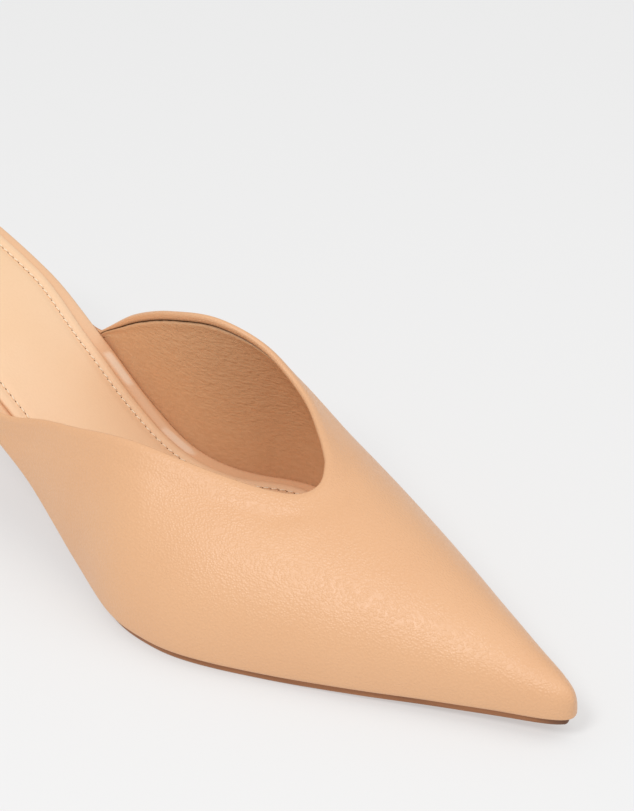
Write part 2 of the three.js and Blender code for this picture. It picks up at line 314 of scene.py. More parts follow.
class Finish:  # a material with its nodes, built from left to right
    def __init__(self, name, **settings):
        self.material = bpy.data.materials.new(name)
        self.material.use_nodes = True
        self.nodes = self.material.node_tree.nodes
        self.links = self.material.node_tree.links
        self.shader = self.nodes["Principled BSDF"]
        for socket, value in settings.items():
            self.shader.inputs[socket.replace("_", " ")].default_value = value
        self.column = -1800

    def node(self, kind, inputs=None, **settings):
        made = self.nodes.new(kind)
        made.location = (self.column, 0)
        self.column += 40
        for name, value in settings.items():
            setattr(made, name, value)
        for name, value in (inputs or {}).items():
            self.give(made.inputs[name], value)
        return made

    def give(self, socket, value):
        if isinstance(value, bpy.types.NodeSocket):
            self.links.new(value, socket)
        else:
            socket.default_value = value

    def place(self, scale=(1, 1, 1), turn=(0, 0, 0)):
        where = self.node("ShaderNodeTexCoord").outputs["Object"]
        return self.node("ShaderNodeMapping", {"Vector": where, "Scale": scale, "Rotation": turn}).outputs[0]

    def noise(self, where, scale, detail):
        inputs = {"Vector": where, "Scale": scale, "Detail": detail}
        return self.node("ShaderNodeTexNoise", inputs).outputs[0]

    def cells(self, where, scale):
        return self.node("ShaderNodeTexVoronoi", {"Vector": where, "Scale": scale}).outputs["Distance"]

    def math(self, operation, *values):
        made = self.node("ShaderNodeMath", operation=operation)
        for socket, value in zip(made.inputs, values):
            self.give(socket, value)
        return made.outputs[0]

    def span(self, value, low, high, toLow=0.0, toHigh=1.0):
        inputs = {"Value": value, "From Min": low, "From Max": high, "To Min": toLow, "To Max": toHigh}
        return self.node("ShaderNodeMapRange", inputs).outputs["Result"]

    def mixed(self, factor, first, second):  # sockets 0, 6 and 7 are the factor and the two colours
        made = self.node("ShaderNodeMix", data_type="RGBA")
        self.give(made.inputs[0], factor)
        self.give(made.inputs[6], first)
        self.give(made.inputs[7], second)
        return made.outputs[2]

    def attribute(self, name):
        return self.node("ShaderNodeAttribute", attribute_name=name).outputs["Fac"]

    def bump(self, height, distance, below=None):
        inputs = {"Height": height, "Distance": distance, "Strength": 1.0}
        if below is not None:
            inputs["Normal"] = below
        return self.node("ShaderNodeBump", inputs).outputs["Normal"]

    def wear(self, colour, roughness, normal):
        for name, value in (("Base Color", colour), ("Roughness", roughness), ("Normal", normal)):
            self.give(self.shader.inputs[name], value)
        return self.material


leatherLook = {
    "colour": paint(227, 175, 131), "deepColour": paint(211, 157, 114), "paleColour": paint(229, 178, 134),
    "grainSize": 0.00056, "grainDepth": 0.00007,
    "wrinkleDepth": 0.000012,
    "roughness": (0.36, 0.43), "glossRoughness": 0.2,
    "pebbleStretch": (0.8, 1.15, 1), "pebbleTurn": (0, 0, 0.6),
    "bendScale": 420.0, "bendReach": (0.0006, 0.0006, 0.0006),
    "fineScale": 3200.0, "fineShare": 0.12,
    "softScale": 420.0, "cloudScale": 34.0, "sheenScale": 150.0,  # noises, per metre
    "creaseShare": 0.14,
}
edgeShade = paint(118, 76, 46)  # where a piece dips into a seam


def leather(name, look):
    finish = Finish(name)
    where = finish.place()
    # Pebbles about 0.6 mm across, a little longer one way, bent by a slow noise
    slow = {"Vector": where, "Scale": look["bendScale"], "Detail": 1.0}
    bend = finish.node("ShaderNodeTexNoise", slow).outputs["Color"]
    bent = finish.node("ShaderNodeVectorMath", {0: bend, 1: look["bendReach"]}, operation="MULTIPLY")
    moved = finish.node("ShaderNodeVectorMath", {0: where, 1: bent.outputs[0]}, operation="ADD").outputs[0]
    stretch = {"Vector": moved, "Scale": look["pebbleStretch"], "Rotation": look["pebbleTurn"]}
    pebbles = finish.cells(finish.node("ShaderNodeMapping", stretch).outputs[0], 1 / look["grainSize"])
    domes = finish.span(pebbles, 0.1, 0.7, 1.0, 0.0)
    fine = finish.noise(where, look["fineScale"], 2.0)
    soft = finish.noise(where, look["softScale"], 3.0)
    height = finish.math("ADD", domes, finish.math("MULTIPLY", fine, look["fineShare"]))
    rough = finish.bump(soft, look["wrinkleDepth"])
    normal = finish.bump(height, look["grainDepth"], rough)
    cloud = finish.span(finish.noise(where, look["cloudScale"], 3.0), 0.35, 0.65)
    tint = finish.mixed(cloud, look["colour"], look["paleColour"])
    between = finish.math("MULTIPLY", finish.span(pebbles, 0.4, 0.8), look["creaseShare"])
    creased = finish.mixed(between, tint, look["deepColour"])
    shaded = finish.mixed(finish.attribute("tone"), creased, edgeShade)
    roughness = finish.span(finish.noise(where, look["sheenScale"], 3.0), 0.3, 0.7, *look["roughness"])
    # A glossy film: lower roughness, and a paler colour that is a painted highlight
    if "filmHighlightColour" in look:
        glossAndHighlight = finish.attribute("glossAndHighlight")
        shaded = finish.mixed(glossAndHighlight, shaded, look["filmHighlightColour"])
        roughness = finish.span(glossAndHighlight, 0, 1, look["roughness"][1], look["glossRoughness"])
    return finish.wear(shaded, roughness, normal)


print("materials")
upperLeather = leather("tanNappa", leatherLook)

liningLook = {
    "colour": paint(220, 173, 130), "deepColour": paint(215, 167, 124),
    "wrinkleDepth": 0.0003, "fineDepth": 0.00005,
    "foldScale": (480, 600, 1200), "foldTurn": (0, 0.2, 0), "crossScale": 1150,
    "roughness": (0.42, 0.56),
}


def wrinkledLining(name, look):
    finish = Finish(name)
    lengthwise = finish.place(look["foldScale"], look["foldTurn"])
    shape = finish.noise(lengthwise, 1.0, 1.5)
    folds = finish.math("MULTIPLY", shape, finish.attribute("wrinkle"))
    crossing = finish.cells(finish.place(), look["crossScale"])
    below = finish.bump(folds, look["wrinkleDepth"])
    normal = finish.bump(crossing, look["fineDepth"], below)
    # Darker where the fold noise is low: painted shade in the fold troughs, and random tone where the folds
    # are faint
    tint = finish.mixed(finish.span(shape, 0.35, 0.65), look["deepColour"], look["colour"])
    tint = finish.mixed(finish.attribute("tone"), tint, edgeShade)
    roughness = finish.span(crossing, 0.3, 0.7, *look["roughness"])
    return finish.wear(tint, roughness, normal)


liningLeather = wrinkledLining("wrinkledLining", liningLook)

sockLook = dict(leatherLook, colour=paint(242, 202, 162), deepColour=paint(234, 190, 149),
                paleColour=paint(244, 205, 167), grainSize=0.0006, grainDepth=0.000012, wrinkleDepth=0.00001,
                roughness=(0.5, 0.6))
sockLeather = leather("sockLeather", sockLook)
# The insole's glossy film is paler than the insole: a painted highlight
insoleLook = dict(sockLook, colour=paint(233, 187, 146), deepColour=paint(222, 173, 132),
                  paleColour=paint(236, 191, 151), filmHighlightColour=paint(246, 220, 194), roughness=(0.4, 0.5))
insoleLeather = leather("insoleLeather", insoleLook)


soleLook = {
    "colour": paint(150, 96, 58), "streakColour": paint(172, 114, 72), "toeColour": paint(112, 70, 42),
    "streakScale": (60, 60, 900), "grainScale": 1500.0, "grainDepth": 0.00003,
    "roughness": (0.42, 0.6),
}


def soleFinish(name, look):
    finish = Finish(name)
    streak = finish.noise(finish.place(look["streakScale"]), 1.0, 3.0)
    tint = finish.mixed(finish.span(streak, 0.35, 0.65), look["colour"], look["streakColour"])
    dark = finish.mixed(finish.attribute("toeDark"), tint, look["toeColour"])
    grain = finish.noise(finish.place(), look["grainScale"], 3.0)
    normal = finish.bump(grain, look["grainDepth"])
    return finish.wear(dark, finish.span(grain, 0.3, 0.7, *look["roughness"]), normal)


brownSole = soleFinish("brownSoleEdge", soleLook)


def plainFinish(name, colour, second, roughness, grainScale=1200.0, depth=0.00002):
    finish = Finish(name)
    grain = finish.noise(finish.place(), grainScale, 3.0)
    tint = finish.mixed(finish.span(grain, 0.35, 0.65), colour, second)
    return finish.wear(tint, finish.span(grain, 0.3, 0.7, *roughness), finish.bump(grain, depth))


wearRubber = plainFinish("tipRubber", paint(112, 76, 50), paint(96, 63, 41), (0.6, 0.75))
creamThread = plainFinish("creamThread", paint(250, 230, 204), paint(240, 214, 182), (0.6, 0.75), 5200.0)
# Dark beads at the needle holes: painted shade inside the holes
needleHoleShade = plainFinish("needleHoleShade", paint(132, 88, 56), paint(110, 70, 44), (0.8, 0.9), 3000.0)

cameraLook = {
    "azimuth": 43.8, "elevation": 30, "roll": -0.47, "distance": 0.9, "lens": 154.6,
    "behindToe": 125.9, "toInner": 46.8, "aboveFloor": 20,  # the point looked at, in millimetres
}


def addCamera(look):
    turn, lift, roll = (math.radians(look[name]) for name in ("azimuth", "elevation", "roll"))
    outward = Vector((math.sin(turn) * math.cos(lift), -math.cos(turn) * math.cos(lift), math.sin(lift)))
    level = Vector((math.cos(turn), math.sin(turn), 0))
    upright = outward.cross(level)
    right = level * math.cos(roll) + upright * math.sin(roll)
    up = upright * math.cos(roll) - level * math.sin(roll)
    target = Vector(placed([-look["behindToe"], look["toInner"], look["aboveFloor"]]))
    data = bpy.data.cameras.new("viewCamera")
    data.lens = look["lens"]
    data.sensor_width = 36
    data.clip_start, data.clip_end = 0.01, 20
    camera = added("viewCamera", data)
    turned = Matrix((right, up, outward)).transposed().to_4x4()
    camera.matrix_world = Matrix.Translation(target + outward * look["distance"]) @ turned
    bpy.context.scene.camera = camera


print("camera")
addCamera(cameraLook)

upperSizes = {
    "leather": 0.85,  # thickness of the outer leather
    "liningFrom": 1.0,  # depth at which the lining starts
    "liningStart": 8,  # distance behind the tip where the lining starts
    "roll": 0.8,  # radius of the folded topline
    "band": 3.2,  # strip beside the topline that has its own rows
    "liningBand": 6.5,
    "foldUnder": 1.1,  # radius of the turn under the feather edge
    "toplineStations": 420,
    "vampStations": 70,
    "wallRows": 46,
    "liningRows": 80,
    "swell": 0.15,  # how far the folded topline stands out
    "trough": {"distance": 5.4, "width": 2.2, "depth": 0.26},  # soft hollow that follows the topline
    "edgeGap": {"narrow": 0.1, "wide": 0.6, "at": 0.73, "spread": 0.1, "nick": 0.05},  # seam under the fold
    "footLead": 4,  # the wall's foot starts this far ahead of the throat
    "leastScale": 0.16, "fullScaleAt": 12,  # the fold shrinks where the wall gets low
    "vampStop": 2.5,  # the vamp's own stations end this far ahead of the strip
    "tipRise": 14, "leastTip": 0.25,  # the turn under shrinks where the toe gets low
    "reliefFade": 3,  # relief fades out this near the strip
    "tuck": ((0.25, 0.04), (0.3, 0.3)),  # last steps of the turn under: inwards, up
    "endCap": 0.8, "endBulge": 0.3,
    "leastFold": 0.4,  # how far the fold and the lining's edge shrink with it
    "wrinkles": {"from": 70, "over": 60, "atToe": 0.12, "height": 25, "atFoot": 0.35},
}

# Soft creases and swells in the leather: ends as (back, across), width and depth in millimetres, out is minus
creases = [
    {"ends": ((104, -0.5), (80, -0.3)), "width": 5, "depth": 0.35},
    {"ends": ((80, -0.3), (71, -0.05)), "width": 4, "depth": 0.3},
    {"ends": ((66, -0.12), (30, -0.2)), "width": 6, "depth": -0.25},
]


def creaseDepth(back, across):
    total = 0 * back
    acrossScale = 42
    for crease in creases:
        start, end = (np.array([place[0], place[1] * acrossScale], float) for place in crease["ends"])
        here = np.stack([back, across * acrossScale], -1)
        share = np.clip(((here - start) @ (end - start)) / ((end - start) @ (end - start)), 0, 1)
        distance = np.linalg.norm(here - start - share[..., None] * (end - start), axis=-1)
        total = total + crease["depth"] * np.exp(-((distance / crease["width"]) ** 2))
    return total


def toplinePlaces(t):
    rows = np.array(toplineRows, float)
    final = len(rows) - 1
    at = np.clip(t, 0, 1) * final
    i = np.minimum(np.floor(at).astype(int), final)
    w = (at - i)[:, None]
    p0, p1 = rows[np.maximum(i - 1, 0)], rows[i]
    p2, p3 = rows[np.minimum(i + 1, final)], rows[np.minimum(i + 2, final)]
    v0, v1 = (p2 - p0) / 2, (p3 - p1) / 2
    return (2 * p1 - 2 * p2 + v0 + v1) * w ** 3 + (3 * p2 - 3 * p1 - 2 * v0 - v1) * w ** 2 + v0 * w + p1


class Topline:  # the edge of the opening, with its directions and its distance-based strips
    def __init__(self, stations):
        self.t = np.linspace(0, 1, stations)
        self.back, self.across = toplinePlaces(self.t).T
        side = sideOf(self.across)
        self.edge = lastPoint(self.back, self.across, side)
        self.normal = lastNormal(self.back, self.across, side)
        tangent = unit(np.gradient(self.edge, axis=0))
        self.open = unit(np.cross(self.normal, tangent))  # out of the leather, into the opening
        along, over = lastSlopes(self.back, self.across, side)
        aa, ao, oo = (along * along).sum(1), (along * over).sum(1), (over * over).sum(1)
        pa, po = -(self.open * along).sum(1), -(self.open * over).sum(1)
        whole = aa * oo - ao * ao
        self.stepBack, self.stepAcross = (pa * oo - po * ao) / whole, (po * aa - pa * ao) / whole
        self.throat = int(np.argmin(self.back + self.stepBack * upperSizes["band"]))
        middle = self.t[self.throat]
        wing = np.abs(self.t - middle) / np.where(self.t < middle, middle, 1 - middle)
        footStart = self.back[self.throat] - upperSizes["footLead"]
        self.footBack = footStart + (lastSizes["wingEnd"] - footStart) * wing
        footSide = np.where(self.t < middle, -1.0, 1.0)
        wallHeight = np.linalg.norm(lastPoint(self.footBack, footSide, footSide) - self.edge, axis=1)
        self.scale = np.maximum(upperSizes["leastScale"], np.tanh(wallHeight / upperSizes["fullScaleAt"]))
        self.foldScale = upperSizes["leastFold"] + (1 - upperSizes["leastFold"]) * self.scale

    def places(self, distance):  # (back, across) that far from the edge, in the leather
        away = distance * self.scale
        across = np.clip(self.across + self.stepAcross * away, -1, 1)
        return self.back + self.stepBack * away, across

    def strip(self, distance, depth, thinning=False):
        back, across = self.places(distance)
        side = sideOf(across)
        if thinning:
            depth = depth * wallShare(back)
        return lastPoint(back, across, side) - lastNormal(back, across, side) * np.asarray(depth)[..., None]


def wallPlaces(topBack, topAcross, footBack, side, rows, footGap):  # even steps down the wall
    share = np.linspace(0, 1, 81)
    back = topBack[:, None] + (footBack - topBack)[:, None] * share
    across = topAcross[:, None] + (side - topAcross)[:, None] * share
    length = np.linalg.norm(np.diff(lastPoint(back, across, sideOf(across)), axis=1), axis=2)
    length = np.concatenate([np.zeros((len(length), 1)), np.cumsum(length, 1)], 1)
    chosen = np.stack([np.interp(np.linspace(0, run[-1] - gap, rows + 1), run, share)
                       for run, gap in zip(length, footGap)])
    pick = topBack[:, None] + (footBack - topBack)[:, None] * chosen
    return pick, topAcross[:, None] + (side - topAcross)[:, None] * chosen


class WallSide:  # one side of the upper below the strip, from the tip to the wing's end
    def __init__(self, topline, side, band, rows, start=0.0, footRadius=0.0):
        count = upperSizes["vampStations"]
        wing = np.arange(topline.throat, -1, -1) if side < 0 else np.arange(topline.throat, len(topline.t))
        back, across = topline.places(band)
        end = back[topline.throat] - upperSizes["vampStop"]
        u = np.linspace(0, 1, count) ** 2
        vampBack = start + (end - start) * u
        vampAcross = across[topline.throat] * vampBack / back[topline.throat]
        topBack = np.concatenate([vampBack, back[wing]])
        topAcross = np.concatenate([vampAcross, across[wing]])
        self.footBack = np.concatenate([vampBack, topline.footBack[wing]])
        vampScale = np.full(count, topline.scale[topline.throat])
        self.band = band * np.concatenate([vampScale, topline.scale[wing]])
        self.side = side
        tipSize = np.clip(rise(vampBack) / upperSizes["tipRise"], upperSizes["leastTip"], 1)
        self.scale = np.concatenate([tipSize, topline.scale[wing]])
        gaps = footRadius * self.scale
        self.back, self.across = wallPlaces(topBack, topAcross, self.footBack, side, rows, gaps)
        self.point = lastPoint(self.back, self.across, sideOf(self.across))
        self.normal = lastNormal(self.back, self.across, sideOf(self.across))
        if start == 0:
            self.normal[0] = unit(self.normal[0] * (1, 0, 1))  # both sides meet at the tip
        self.foot = lastPoint(self.footBack, side + 0 * self.footBack, side)
        self.fromEdge = np.stack([
            np.linalg.norm(row[:, None] - topline.edge[None], axis=2).min(1) for row in self.point])

    def surface(self, depth):  # an array is taken as it is, one number follows the thinning wall
        if np.ndim(depth) == 0:
            depth = depth * wallShare(self.back)
        return self.point - self.normal * depth[..., None]


def footInward(outer, inner):  # plan directions into the shoe at the two rows of feather points
    loop = np.concatenate([outer.foot[::-1], inner.foot[1:]])
    tangent = np.gradient(loop[:, :2], axis=0)
    inward = unit(np.stack([-tangent[:, 1], tangent[:, 0], 0 * tangent[:, 0]], -1))
    count = len(outer.foot)
    return inward[:count][::-1], inward[count - 1:]


def makeUpperLeather():
    sizes = upperSizes
    topline = Topline(sizes["toplineStations"])
    hidden = sizes["leather"]
    walls = [WallSide(topline, side, sizes["band"], sizes["wallRows"], footRadius=sizes["foldUnder"])
             for side in (-1, 1)]
    shell = Shell()
    trough = sizes["trough"]
    ringed = toplineRing(topline, hidden)
    for wallSide, inward in zip(walls, footInward(*walls)):
        beyond = np.maximum(0, wallSide.fromEdge - wallSide.band[:, None])
        offCentre = (wallSide.fromEdge - trough["distance"]) / trough["width"]
        hollow = trough["depth"] * np.exp(-(offCentre ** 2))
        fade = (1 - np.exp(-((beyond / sizes["reliefFade"]) ** 2))) * wallShare(wallSide.back)
        outside = wallSide.surface((hollow + creaseDepth(wallSide.back, wallSide.across)) * fade)
        inside = wallSide.surface(hidden)
        shell.sheet(outside)
        shell.sheet(inside)
        radius = (sizes["foldUnder"] * wallSide.scale)[:, None]
        under = wallSide.foot + inward * radius
        turn = [outside[:, -1]]
        for v in np.linspace(0, 1, 6)[1:]:
            turn.append((1 - v) ** 2 * outside[:, -1] + 2 * v * (1 - v) * wallSide.foot + v * v * under)
        for further, up in sizes["tuck"]:
            turn.append(wallSide.foot + inward * (radius + further) + np.array([0, 0, up]))
        turn.append(inside[:, -1])
        turn = np.stack(turn, 1)
        shell.sheet(turn)
        # The wing's end, closed by a small rounded cap
        strip = ringed[:, 0 if wallSide.side < 0 else -1]
        ring = np.concatenate([outside[-1], turn[-1][1:], inside[-1][::-1][1:], strip[::-1][1:-1]])
        middle = ring.mean(0)
        smaller = middle + (ring - middle) * sizes["endCap"] + np.array([-sizes["endBulge"], 0, 0])
        shell.sheet(np.stack([np.concatenate([ring, ring[:1]]), np.concatenate([smaller, smaller[:1]])]))
        shell.cap(smaller)
    # Painted shade where the fold meets the lining
    inSeam = np.array([0] * (len(ringed) - 6) + [0.5, 0.8, 1, 1, 1, 0])
    shell.sheet(ringed, inSeam[:, None] + np.zeros(ringed.shape[:2]))
    return shell.piece("upperLeather", upperLeather)


def toplineRing(topline, hidden):  # the folded edge, from the outside over the roll to the hidden side
    sizes = upperSizes
    radius = sizes["roll"] * topline.foldScale
    columns = [topline.strip(distance, -sizes["swell"] * out * topline.scale)
               for distance, out in ((3.2, 0), (2.6, 0.5), (2.1, 0.9), (1.6, 1), (1.2, 0.8))]
    centre = topline.edge - (topline.open + topline.normal) * radius[:, None]
    for angle in np.linspace(0.12, math.pi, 10):
        turned = topline.normal * math.cos(angle) + topline.open * math.sin(angle)
        columns.append(centre + turned * radius[:, None])
    for distance, share in ((1.3, 1), (1.8, 1), (2.08, 0.98), (2.2, 0.85), (2.24, 0.68)):
        columns.append(topline.strip(distance, 2 * radius * share))
    columns += [topline.strip(distance, hidden, True) for distance in (2.5, 3.2)]
    return np.stack(columns)


def makeLining():
    sizes = upperSizes
    topline = Topline(sizes["toplineStations"])
    walls = [WallSide(topline, side, sizes["liningBand"], sizes["liningRows"], start=sizes["liningStart"],
                      footRadius=0.4) for side in (-1, 1)]
    shell = Shell()
    gapShape = sizes["edgeGap"]
    wide = np.exp(-(((topline.t - gapShape["at"]) / gapShape["spread"]) ** 2))
    shift = gapShape["narrow"] + (gapShape["wide"] - gapShape["narrow"]) * wide
    random = np.random.default_rng(7)
    nicks = np.convolve(random.normal(0, 1, len(topline.t)), np.ones(3) / 3, "same")
    shift = shift + gapShape["nick"] * nicks

    front, full = sizes["liningFrom"], lastSizes["wall"]
    columns = [topline.strip(sizes["liningBand"], full, True)]
    # Distance from the topline and depth: the edge swells a little, then turns in at the seam
    for distance, depth in ((5.0, full + 0.02), (4.2, full + 0.08), (3.5, full + 0.2), (3.0, full + 0.28),
                            (2.6, full + 0.22), (2.36, full + 0.05), (2.28, 1.35), (2.3, front + 0.08)):
        columns.append(topline.strip(distance + shift, depth * topline.foldScale))
    columns += [topline.strip(distance, front, True) for distance in (4.0, sizes["liningBand"])]
    ringed = np.stack(columns)
    # Painted shade where the lining turns in at the seam
    inSeam = np.array([0, 0, 0, 0, 0, 0, 0.25, 0.8, 1, 0, 0])
    shell.sheet(ringed, inSeam[:, None] + np.zeros(ringed.shape[:2]))
    for wallSide in walls:
        visible = wallSide.surface(full)
        back = wallSide.surface(front)
        rims = [np.stack([visible[edge], back[edge]]) for edge in (np.s_[:, -1], 0)]
        for sheet in (visible, back, *rims):
            shell.sheet(sheet)
        strip = ringed[:, 0 if wallSide.side < 0 else -1]
        ring = np.concatenate([visible[-1], back[-1][::-1], strip[::-1][1:-1]])
        shell.cap(ring)
    lining = shell.piece("lining", liningLeather)
    # Wrinkles are strongest at the rear and top of the wings and die out towards the toe
    reach = sizes["wrinkles"]
    back, _, up = lastPlaces(lining).T
    lengthwise = np.clip((back - reach["from"]) / reach["over"], reach["atToe"], 1)
    upwards = np.clip((up - feather(back)) / reach["height"], reach["atFoot"], 1)
    keepOnPoints(lining, "wrinkle", lengthwise * upwards)
    return lining


print("upper")
leatherPiece = makeUpperLeather()
liningPiece = makeLining()
finished(leatherPiece, "upper_leather", "upper")
finished(liningPiece, "upper_leather")

outsoleSizes = {"inset": 1.7, "stations": 300, "lanes": 10, "toeDarkFrom": 2, "toeDarkOver": 6}
insoleSizes = {
    "stations": 340, "lanes": 10,
    "inset": 1.55,  # at the lining, which it just meets
    "glossHalfWidth": 1.1, "glossBlur": 0.5,
    "glossAndHighlight": [  # a glossy film beside the sock, whose paler colour is a painted highlight: two ends as (back, to inner) and its strength
        ((172.6, 17.6), (165.2, 17), 1),
        ((165.2, 17), (149.8, 15.4), 0.3),
        ((149.6, 15.4), (142.2, 16.3), 0.9),
    ],
}
sockSizes = {
    "start": 16.5, "toeRound": 8, "toeRoundness": 2.2, "stations": 420, "lanes": 16,
    "edge": 1.25, "crown": 0.6,
    "stitchInset": 3.2, "grooveDepth": 0.2, "grooveWidth": 0.7,
}


def evenStations(start, end, count):  # closer together at both ends
    return start + (end - start) * (1 - np.cos(np.pi * np.linspace(0, 1, count + 1))) / 2


def planDirections(outer, inner, blur=0):  # into the plate, for two rows that meet at both ends
    loop = np.concatenate([outer, inner[::-1][1:-1]])
    tangent = np.roll(loop, -1, 0) - np.roll(loop, 1, 0)
    inward = unit(np.stack([tangent[:, 1], -tangent[:, 0]], -1))
    if blur:  # turns gently, so that deep rings do not cross at a bend
        inward = unit(sum(np.roll(inward, k, 0) for k in range(-blur, blur + 1)))
    count = len(outer)
    innerRow = np.concatenate([inward[:1], inward[count:][::-1], inward[count - 1:count]])
    return inward[:count], innerRow


class Plate:  # a plate that follows the sole line, with its edge given as rings
    def __init__(self, outer, inner, base, narrow=6.0, blur=9):
        self.sides = (outer, inner)
        self.inward = planDirections(outer, inner, blur)
        self.base = base
        half = np.abs(inner[:, 1] - outer[:, 1]) / 2
        self.fit = np.clip(half / narrow, 0.12, 1)[:, None]

    def ring(self, inset, height):
        rows = []
        for edge, way in zip(self.sides, self.inward):
            moved = edge + way * inset * (self.fit if inset > 1.2 else 1)
            rows.append(np.column_stack([moved, self.base(-moved[:, 0]) + height]))
        return rows

    def build(self, shell, profile, lanes, crown=0, floor=None):  # profile is (inset, height) from below
        rings = [self.ring(inset, height) for inset, height in profile]
        for side in (0, 1):
            grid = np.stack([ring[side] for ring in rings])
            if floor is not None:
                grid[..., 2] = np.maximum(grid[..., 2], floor)
            shell.sheet(grid)
        share = np.linspace(-1, 1, lanes + 1)
        for ring, extra in ((rings[-1], crown), (rings[0], 0)):
            outer, inner = ring
            mix = (share + 1) / 2
            face = outer[:, None] * (1 - mix)[:, None] + inner[:, None] * mix[:, None]
            level = self.base(-face[..., 0]) + (outer[:, 2] - self.base(-outer[:, 0]))[:, None]
            lift = extra * (1 - share ** 2) * self.fit
            inside = (np.abs(share) < 1)[None, :]
            face[..., 2] = np.where(inside, level + lift, face[..., 2])
            if floor is not None:
                face[..., 2] = np.maximum(face[..., 2], floor)
            shell.sheet(face)


def featherRows(stations, inset):  # the feather outline, drawn in by inset(back)
    back = evenStations(0, shoeLength, stations)
    outer = np.column_stack([-back, -halfWidth(back, -1)])
    inner = np.column_stack([-back, halfWidth(back, 1)])
    wayOuter, wayInner = planDirections(outer, inner)
    drawn = inset(back)[:, None]
    return outer + wayOuter * drawn, inner + wayInner * drawn


def soleBottom(back):
    return np.maximum(0, feather(back) - lastSizes["gap"] - lastSizes["outsoleThickness"])


def makeOutsole():
    sizes = outsoleSizes
    outer, inner = featherRows(sizes["stations"], lambda back: sizes["inset"] + 0 * back)
    plate = Plate(outer, inner, lambda back: feather(back) - lastSizes["gap"])
    thick = lastSizes["outsoleThickness"]
    shell = Shell()
    profile = [(6.0, -thick), (4.6, -thick), (4.25, -thick + 0.3), (3.9, -thick), (1.1, -thick),
               (0.5, -thick + 0.08), (0.14, -thick + 0.3), (0, -thick + 0.7), (0, -0.5), (0.08, -0.18),
               (0.3, -0.02), (1.1, 0), (2.2, 0), (2.6, 0.22)]
    plate.build(shell, profile, sizes["lanes"], floor=0.0)
    sole = shell.piece("outsole_unit", brownSole)
    behind = lastPlaces(sole)[:, 0] - sizes["toeDarkFrom"]
    keepOnPoints(sole, "toeDark", np.clip(1 - behind / sizes["toeDarkOver"], 0, 1))
    return sole


def makeInsole():
    sizes = insoleSizes
    outer, inner = featherRows(sizes["stations"], lambda back: edgeInset(back, sizes["inset"]))
    plate = Plate(outer, inner, feather)
    full = lastSizes["insoleThickness"]
    shell = Shell()
    profile = [(3.0, 0), (1.0, 0), (0.35, 0.1), (0.06, 0.5), (0, 1.2), (0.03, 1.9), (0.2, 2.45),
               (0.55, 2.82), (1.0, 2.97)] + [(1.6 + 0.5 * step, full) for step in range(10)]
    plate.build(shell, profile, sizes["lanes"])
    board = shell.piece("insole_board", insoleLeather)
    here = lastPlaces(board)
    glossAndHighlight = np.zeros(len(here))
    for start, end, amount in sizes["glossAndHighlight"]:
        start, way = np.array(start), np.array(end) - np.array(start)
        share = np.clip((here[:, :2] - start) @ way / (way @ way), 0, 1)[:, None]
        away = np.linalg.norm(here[:, :2] - start - share * way, axis=1)
        inFilm = np.clip((sizes["glossHalfWidth"] - away) / sizes["glossBlur"] + 0.5, 0, 1)
        glossAndHighlight = np.maximum(glossAndHighlight, amount * inFilm)
    keepOnPoints(board, "glossAndHighlight", glossAndHighlight)
    return board


def sockRows(sizes):
    back = evenStations(sizes["start"], shoeLength - lastSizes["sockMargins"][1], sizes["stations"])
    u = np.clip(1 - (back - sizes["start"]) / sizes["toeRound"], 0, 1)
    rounded = (1 - u ** sizes["toeRoundness"]) ** (1 / sizes["toeRoundness"])
    inset = sockInset(back)
    outer = np.column_stack([-back, -halfWidth(back, -1, inset) * rounded])
    inner = np.column_stack([-back, halfWidth(back, 1, inset) * rounded])
    return outer, inner


def sockBase(back):
    return feather(back) + lastSizes["insoleThickness"] + lastSizes["gap"]


def makeSock():
    sizes = sockSizes
    plate = Plate(*sockRows(sizes), sockBase, narrow=9)
    shell = Shell()
    edge, groove, width = sizes["edge"], sizes["stitchInset"], sizes["grooveWidth"]
    deep = sizes["grooveDepth"]
    profile = [(3.0, 0), (0.6, 0), (0.15, 0.1), (0, 0.4), (0.06, 0.75), (0.25, edge - 0.22),
               (0.55, edge - 0.02), (1.0, edge + 0.1), (1.7, edge + 0.16), (groove - 2 * width, edge + 0.15),
               (groove - width, edge - deep * 0.4), (groove, edge - deep),
               (groove + width, edge - deep * 0.35), (groove + 2 * width, edge + 0.2),
               (groove + 2.4, edge + 0.3), (groove + 4, edge + 0.38)]
    plate.build(shell, profile, sizes["lanes"], sizes["crown"] - 0.2)
    made = shell.piece("sock_pad", sockLeather)
    path = plate.ring(groove, edge - deep)
    return made, np.concatenate([path[0], path[1][::-1][1:-1]])


print("sole, insole and sock")
outsolePiece = makeOutsole()
insolePiece = makeInsole()
sockPiece, stitchPath = makeSock()
finished(outsolePiece, "sole_rubber", "outsole")
finished(insolePiece, "insole_leather", "insole")
finished(sockPiece, "sock_leather", "sock")

stitchPitch = 2.1
rowSizes = {"Pitch": stitchPitch / 1000, "Slant": 0.2}  # in metres, as the node tree takes them
stitchSizes = dict(rowSizes, Length=0.0017, Radius=0.00022, Turn=0.06, Lift=0.00025)
holeSizes = dict(rowSizes, Length=0.0006, Radius=0.00015, Turn=0.2, Lift=0.00003)


